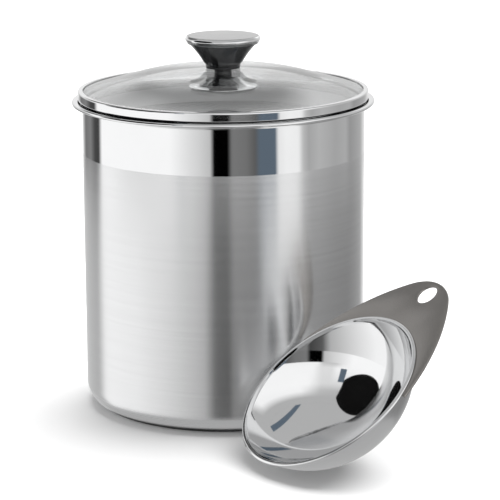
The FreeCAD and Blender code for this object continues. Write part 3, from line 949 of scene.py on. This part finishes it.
# The rings, one on the other: name, level of the foot, cards at the foot, cards at the top.
CARD_FOOT = -0.25
RINGS = (
    ("low_cards", CARD_FOOT, LOW_CARDS, LOW_CARDS),
    ("middle_cards", 0.055, MIDDLE_CARDS, MIDDLE_CARDS),
    ("open_cards", 0.128, OPEN_CARDS, UPPER_CARDS),
    ("upper_cards", 0.165, UPPER_CARDS, HIGH_CARDS),
    ("high_cards", 0.30, HIGH_CARDS, TALL_CARDS),
    ("tall_cards", 0.38, TALL_CARDS, TOP_CARDS),
    ("top_cards", 0.485, TOP_CARDS, TOP_CARDS),
)
CEILING_GREY = 0.42
FLOOR_GREY = 0.40
# a dark disc under the canister, seen only in the bend of its base: painted shade standing in for
# the floor's shadow mirrored there
BASE_RADIUS = 0.0725
BASE_LEVEL = -0.012
BASE_SHADE_GREY = 0.01
# the black oval, as shares of the ring's radius or in metres, and the blue-grey strips
FLAG_INSET = 0.004
OVAL_BEARING = math.radians(-66)
OVAL_REACH = 0.86
OVAL_LEVEL = 0.36
OVAL_HALF_SIZES = (0.25, 0.22)
OVAL_GREY = 0.004
BLUE_FLAGS = (
    ("blue_post", [
        (-0.232, -0.340, 0.160), (-0.188, -0.366, 0.160),
        (-0.188, -0.366, 0.27), (-0.232, -0.340, 0.27),
    ]),
    ("blue_bar", [
        (0.115, -0.395, 0.61), (0.180, -0.370, 0.61), (0.408, 0.060, 0.61), (0.365, 0.130, 0.61),
    ]),
)
FLOOR_SIZE = 8
SENSOR_WIDTH = 36


class CANISTER_OT_stage(bpy.types.Operator):
    """Make the floor, the cards that the steel mirrors, the soft light and the camera."""
    bl_idname = "canister.stage"
    bl_label = "Stage"

    def execute(self, context):
        scene = context.scene
        studio = scene.canister_studio
        self.gain = 1 / max(scene.canister_finish.steel)
        self.make_floor(studio)
        radius, ceiling = studio.card_radius, studio.ceiling_height
        tops = [foot for _, foot, *_ in RINGS[1:]] + [ceiling]
        for (name, foot, cards, top_cards), top in zip(RINGS, tops):
            self.ring(name, radius, foot, top, cards, top_cards)
        self.disc("ceiling_card", radius, ceiling, CEILING_GREY)
        self.disc("floor_card", radius, CARD_FOOT, FLOOR_GREY)
        # painted shade under the base, for the bend to mirror
        self.disc("base_shade_card", BASE_RADIUS, BASE_LEVEL, BASE_SHADE_GREY)
        self.flags(studio)
        self.make_sky(scene, studio)
        self.make_key(scene, studio)
        self.make_camera(scene, studio)
        scene.view_settings.view_transform = "Standard"
        scene.view_settings.look = "None"
        return {"FINISHED"}

    def link(self, mesh, name, material, seen_by_camera):
        data = bpy.data.meshes.new(name)
        mesh.to_mesh(data)
        mesh.free()
        item = bpy.data.objects.new(name, data)
        bpy.context.scene.collection.objects.link(item)
        data.materials.append(material)
        item.visible_glossy = not seen_by_camera
        for ray in ("camera", "diffuse", "transmission", "shadow"):
            setattr(item, f"visible_{ray}", seen_by_camera)

    def make_floor(self, studio):
        mesh = bmesh.new()
        bmesh.ops.create_grid(mesh, x_segments=4, y_segments=4, size=FLOOR_SIZE)
        finish = Finish("pale_floor")
        cloud = finish.noise(finish.place(), 3.0)
        tone = finish.blend(cloud, faded(studio.floor_tint, 0.995), studio.floor_tint[:])
        material = finish.surface({"Base Color": tone, "Roughness": 0.8})
        self.link(mesh, "floor", material, True)

    def colour(self, card):
        parts = card if isinstance(card, tuple) else (card, card, card)
        return faded(parts, self.gain)

    def glow(self, name, colour):
        finish = Finish(name)
        shader = finish.add("ShaderNodeEmission", None, {"Color": colour})
        return finish.output(shader)

    def ring(self, name, radius, foot, top, cards, top_cards):
        """A ring of cards round the canister; its brightness follows bearing and height."""
        section = Section(radius, foot)
        section.line(radius, top)
        finish = Finish(name)
        parts = finish.add("ShaderNodeSeparateXYZ", None, {0: finish.place((1, -1, 1))})
        across, along, level = parts.outputs
        settings = {"operation": "ARCTAN2"}
        bearing = finish.value("ShaderNodeMath", 0, settings, {0: across, 1: along})
        share_round = bearing / math.tau + 0.5
        height = (Value(finish, level) - foot) / (top - foot)
        low, high = (
            finish.add(
                "ShaderNodeValToRGB",
                {"stops": [((place + 180) / 360, self.colour(card)) for place, card in table]},
                {0: share_round},
            ).outputs[0]
            for table in (cards, top_cards)
        )
        shader = finish.add("ShaderNodeEmission", None, {"Color": finish.blend(height, low, high)})
        self.link(section.turned(), name, finish.output(shader), False)

    def disc(self, name, radius, level, card):
        mesh = bmesh.new()
        bmesh.ops.create_circle(mesh, cap_ends=True, segments=64, radius=radius)
        bmesh.ops.translate(mesh, vec=(0, 0, level), verts=mesh.verts)
        self.link(mesh, name, self.glow(name, self.colour(card)), False)

    def flags(self, studio):
        """A black oval and two blue-grey strips, placed for the scoop's hollow to mirror."""
        radius = studio.card_radius - FLAG_INSET
        black = self.glow("black_flag", self.colour(OVAL_GREY))
        blue = self.glow("blue_flag", self.colour(GREY_BLUE))
        turn = Matrix.Rotation(OVAL_BEARING, 4, "Z")
        mesh = bmesh.new()
        stand = Matrix.Rotation(math.radians(90), 4, "X")
        shape = turn @ Matrix.Translation((0, -radius * OVAL_REACH, OVAL_LEVEL)) @ stand
        bmesh.ops.create_circle(
            mesh, cap_ends=True, segments=64, radius=1,
            matrix=shape @ Matrix.Diagonal((*OVAL_HALF_SIZES, 1, 1)),
        )
        self.link(mesh, "black_oval", black, False)
        for name, corners in BLUE_FLAGS:
            mesh = bmesh.new()
            bmesh.ops.contextual_create(mesh, geom=[mesh.verts.new(corner) for corner in corners])
            self.link(mesh, name, blue, False)

    def make_sky(self, scene, studio):
        sky = bpy.data.worlds.new("soft_sky")
        sky.use_nodes = True
        background = sky.node_tree.nodes["Background"]
        background.inputs["Color"].default_value = (1, 1, 1, 1)
        background.inputs["Strength"].default_value = studio.sky_strength
        sky.cycles_visibility.glossy = False
        scene.world = sky

    def make_key(self, scene, studio):
        data = bpy.data.lights.new("key", "SUN")
        data.energy = studio.key_strength
        data.angle = studio.key_spread
        key = bpy.data.objects.new("key", data)
        key.rotation_euler = Euler((-studio.key_tilt, 0, -studio.key_bearing))
        key.visible_glossy = False
        scene.collection.objects.link(key)

    def make_camera(self, scene, studio):
        pitch, yaw = studio.camera_pitch, studio.camera_yaw
        ahead = Vector(
            (math.sin(yaw) * math.cos(pitch), math.cos(yaw) * math.cos(pitch), -math.sin(pitch))
        )
        right = ahead.cross(UP).normalized()
        level = Matrix((right, right.cross(ahead), -ahead)).transposed().to_4x4()
        data = bpy.data.cameras.new("camera")
        data.sensor_width = SENSOR_WIDTH
        data.lens = studio.focal_length
        camera = bpy.data.objects.new("camera", data)
        camera.matrix_world = (
            Matrix.Translation((0, -studio.camera_distance, studio.camera_height))
            @ level @ Matrix.Rotation(studio.camera_roll, 4, "Z")
        )
        scene.collection.objects.link(camera)
        scene.camera = camera


GROUPS = {
    "canister_shell": ShellSizes,
    "canister_lid": LidSizes,
    "canister_knob": KnobSizes,
    "canister_scoop": ScoopSizes,
    "canister_finish": FinishSettings,
    "canister_studio": StudioSettings,
}
OPERATORS = (
    CANISTER_OT_shell,
    CANISTER_OT_lid_band,
    CANISTER_OT_lid_glass,
    CANISTER_OT_seal_washers,
    CANISTER_OT_knob_grip,
    CANISTER_OT_knob_cap,
    CANISTER_OT_clamp_cup,
    CANISTER_OT_knob_fixings,
    CANISTER_OT_scoop_bowl,
    CANISTER_OT_scoop_handle,
    CANISTER_OT_stage,
)


class CANISTER_PT_pieces(bpy.types.Panel):
    """The canister's pieces, in the order in which they are made."""
    bl_label = "Canister"
    bl_space_type = "VIEW_3D"
    bl_region_type = "UI"
    bl_category = "Canister"

    def draw(self, context):
        for operator in OPERATORS:
            self.layout.operator(operator.bl_idname)
        for word, group in GROUPS.items():
            box = self.layout.box()
            for size in group.__annotations__:
                box.prop(getattr(context.scene, word), size)


def register():
    for group in GROUPS.values():
        bpy.utils.register_class(group)
    for operator in (*OPERATORS, CANISTER_PT_pieces):
        bpy.utils.register_class(operator)
    for word, group in GROUPS.items():
        setattr(bpy.types.Scene, word, PointerProperty(type=group))


def unregister():
    for word in GROUPS:
        delattr(bpy.types.Scene, word)
    for item in (CANISTER_PT_pieces, *reversed(OPERATORS), *GROUPS.values()):
        bpy.utils.unregister_class(item)


def main():
    register()
    for operator in OPERATORS:
        section, word = operator.bl_idname.split(".")
        getattr(getattr(bpy.ops, section), word)()


if __name__ == "__main__":
    main()
